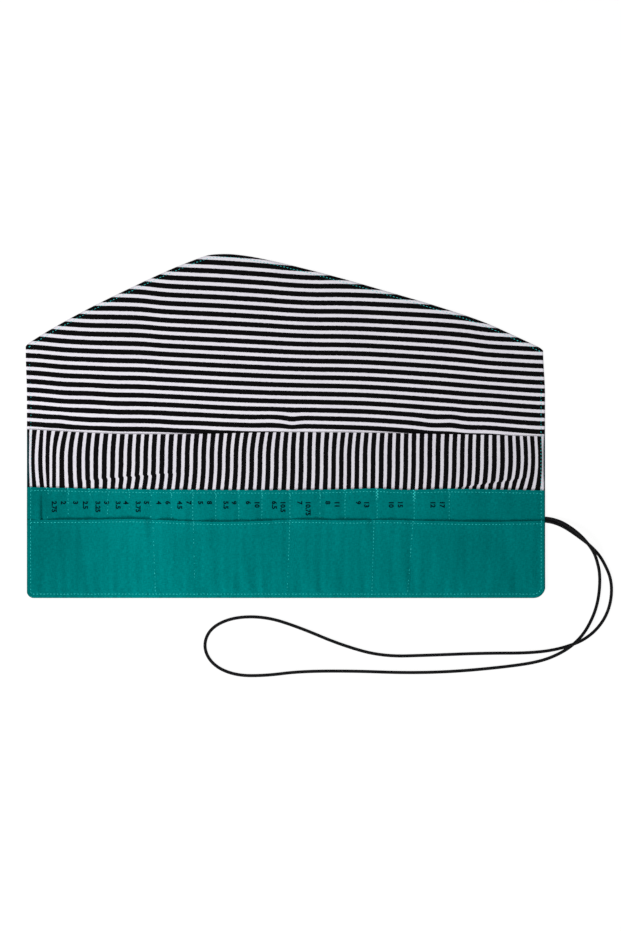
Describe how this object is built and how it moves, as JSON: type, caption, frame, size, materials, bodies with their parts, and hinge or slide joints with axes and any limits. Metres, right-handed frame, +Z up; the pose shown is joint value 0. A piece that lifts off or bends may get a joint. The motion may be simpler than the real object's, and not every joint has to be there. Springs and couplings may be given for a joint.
{
  "type": "knitting needle case",
  "caption": "Fold-up fabric case with a peaked flap, a row of stitched needle channels, two slip pockets and an elastic loop.",
  "frame": {"origin": "under the middle of the open case's outline, on the surface it lies on, the cord left out", "axes": "+X along the row of needle channels towards the cord, +Y towards the flap, +Z up out of the lining"},
  "size_m": [0.5862, 0.4231, 0.0096],
  "materials": {
    "teal_cotton": "matte",
    "striped_cotton": "matte",
    "felt": "matte",
    "elastic": "matte"
  },
  "bodies": {
    "left_panel": {"left_outer_shell": "teal_cotton", "left_interlining": "felt", "left_lining": "striped_cotton", "left_slip_pocket": "striped_cotton", "left_needle_pocket": "teal_cotton", "left_channel_seams": "teal_cotton", "left_front_pocket": "teal_cotton", "left_hems": "teal_cotton"},
    "left_flap": {"left_flap_outer_shell": "teal_cotton", "left_flap_interlining": "felt", "left_flap_lining": "striped_cotton"},
    "centre_panel": {"centre_outer_shell": "teal_cotton", "centre_interlining": "felt", "centre_lining": "striped_cotton", "centre_slip_pocket": "striped_cotton", "centre_needle_pocket": "teal_cotton", "centre_channel_seams": "teal_cotton", "centre_front_pocket": "teal_cotton", "centre_hems": "teal_cotton"},
    "centre_flap": {"centre_flap_outer_shell": "teal_cotton", "centre_flap_interlining": "felt", "centre_flap_lining": "striped_cotton"},
    "right_panel": {"right_outer_shell": "teal_cotton", "right_interlining": "felt", "right_lining": "striped_cotton", "right_slip_pocket": "striped_cotton", "right_needle_pocket": "teal_cotton", "right_channel_seams": "teal_cotton", "right_front_pocket": "teal_cotton", "right_hems": "teal_cotton", "cord_tails": "elastic", "elastic_cord": "elastic"},
    "right_flap": {"right_flap_outer_shell": "teal_cotton", "right_flap_interlining": "felt", "right_flap_lining": "striped_cotton"}
  },
  "joints": [
    {"name": "flap_fold", "type": "hinge", "parent": "centre_panel", "child": "centre_flap", "pos_m": [0, 0.038, 0.0058], "axis": [1, 0, 0], "range_deg": [0, 180]},
    {"name": "left_flap_fold", "type": "hinge", "parent": "left_panel", "child": "left_flap", "pos_m": [0, 0.038, 0.0058], "axis": [1, 0, 0], "range_deg": [0, 180]},
    {"name": "right_flap_fold", "type": "hinge", "parent": "right_panel", "child": "right_flap", "pos_m": [0, 0.038, 0.0058], "axis": [1, 0, 0], "range_deg": [0, 180]},
    {"name": "left_fold", "type": "hinge", "parent": "centre_panel", "child": "left_panel", "pos_m": [-0.093, 0, 0.0118], "axis": [0, 1, 0], "range_deg": [0, 180]},
    {"name": "right_fold", "type": "hinge", "parent": "centre_panel", "child": "right_panel", "pos_m": [0.091, 0, 0.0178], "axis": [0, -1, 0], "range_deg": [0, 180]}
  ],
  "couplings": [
    {"joint": "left_flap_fold", "follows": "flap_fold", "ratio": 1},
    {"joint": "right_flap_fold", "follows": "flap_fold", "ratio": 1}
  ]
}
